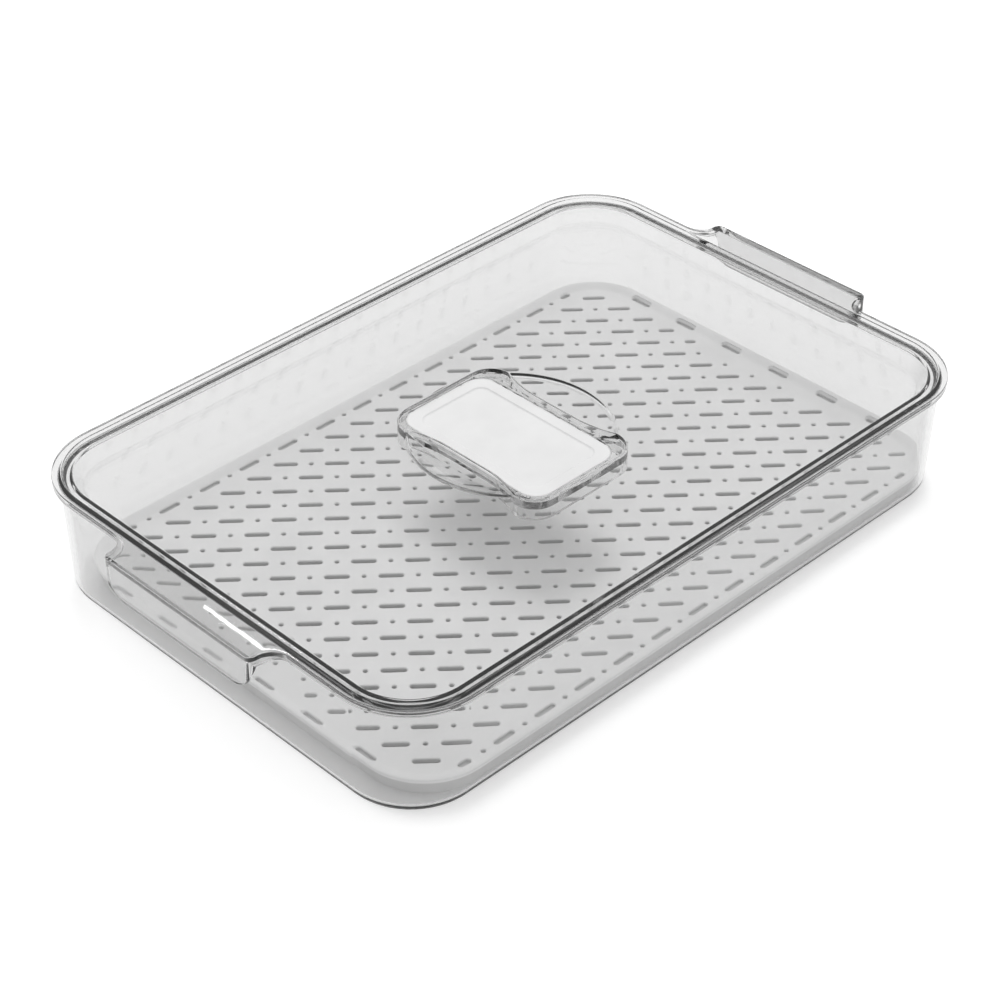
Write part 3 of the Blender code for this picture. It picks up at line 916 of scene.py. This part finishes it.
def add_softbox(name, direction, distance, size, power):
    lamp = bpy.data.lights.new(name, "AREA")
    lamp.shape = "SQUARE"
    lamp.size = size
    lamp.energy = power
    item = bpy.data.objects.new(name, lamp)
    direction = Vector(direction).normalized()
    item.location = direction * distance
    item.rotation_euler = direction.to_track_quat("Z", "Y").to_euler()
    item.visible_glossy = False
    item.visible_transmission = False
    bpy.context.scene.collection.objects.link(item)


def add_glint(name, location, turn, size, power):
    """A lamp that shows only as a bright reflection. It faces down before it is turned, in degrees."""
    lamp = bpy.data.lights.new(name, "AREA")
    lamp.shape = "RECTANGLE"
    lamp.size, lamp.size_y = size
    lamp.energy = power
    item = bpy.data.objects.new(name, lamp)
    item.location = location
    item.rotation_euler = [math.radians(angle) for angle in turn]
    item.visible_diffuse = False
    item.visible_transmission = False
    bpy.context.scene.collection.objects.link(item)


def make_camera():
    back = Vector((
        math.sin(CAMERA_AZIMUTH) * math.cos(CAMERA_ELEVATION),
        -math.cos(CAMERA_AZIMUTH) * math.cos(CAMERA_ELEVATION),
        math.sin(CAMERA_ELEVATION),
    ))
    right = Vector((math.cos(CAMERA_AZIMUTH), math.sin(CAMERA_AZIMUTH), 0.0))
    up = back.cross(right)
    turn = Matrix((right, up, back)).transposed().to_4x4() @ Matrix.Rotation(CAMERA_ROLL, 4, "Z")
    camera = bpy.data.cameras.new("camera")
    camera.lens = CAMERA_LENS
    camera.sensor_width = 36.0
    camera.shift_x, camera.shift_y = CAMERA_SHIFT
    camera.clip_start = 0.05
    camera.clip_end = 60.0
    item = bpy.data.objects.new("camera", camera)
    item.matrix_world = Matrix.Translation(CAMERA_TARGET + back * CAMERA_DISTANCE) @ turn
    bpy.context.scene.collection.objects.link(item)
    bpy.context.scene.camera = item


def dress(piece, material, body, node):
    piece.data.materials.clear()
    piece.data.materials.append(material)
    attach(piece, body)
    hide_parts(node)


def main():
    make_camera()
    clear_bin = clear_plastic("clear_bin", (0.86, 0.86, 0.86), 45.0)
    clear_lid = clear_plastic("clear_lid", (0.94, 0.94, 0.94), 25.0)
    white = moulded_white("white_insert", (0.85, 0.85, 0.85), (0.81, 0.81, 0.81), 0.38, 900.0)
    tray = moulded_white("tray_plastic", (0.87, 0.87, 0.87), (0.82, 0.82, 0.82), 0.45, 700.0, TRAY_TOP)
    for maker, material, body, node in (
        (make_bin, clear_bin, "bin", "bin"),
        (make_lid, clear_lid, "lid", "lid"),
        (make_insert, white, "lid", "grip_insert"),
        (make_tray, tray, "tray", "drain_tray"),
    ):
        piece = maker()
        dress(piece, material, body, node)
    make_floor()
    make_world()
    add_softbox("key", (0.42, 0.52, 0.74), 2.2, 0.9, 18.0)
    add_glint("shelf_streak", (0.407, 0.70, 0.808), (0.0, 36.7, 0.0), (0.0035, 0.11), 0.02)
    scene = bpy.context.scene
    scene.view_settings.view_transform = "Standard"
    # Light that runs down inside a clear wall turns many times before it leaves.
    scene.cycles.max_bounces = LIGHT_TURNS
    scene.cycles.transmission_bounces = LIGHT_TURNS
    scene.cycles.glossy_bounces = LIGHT_TURNS


main()
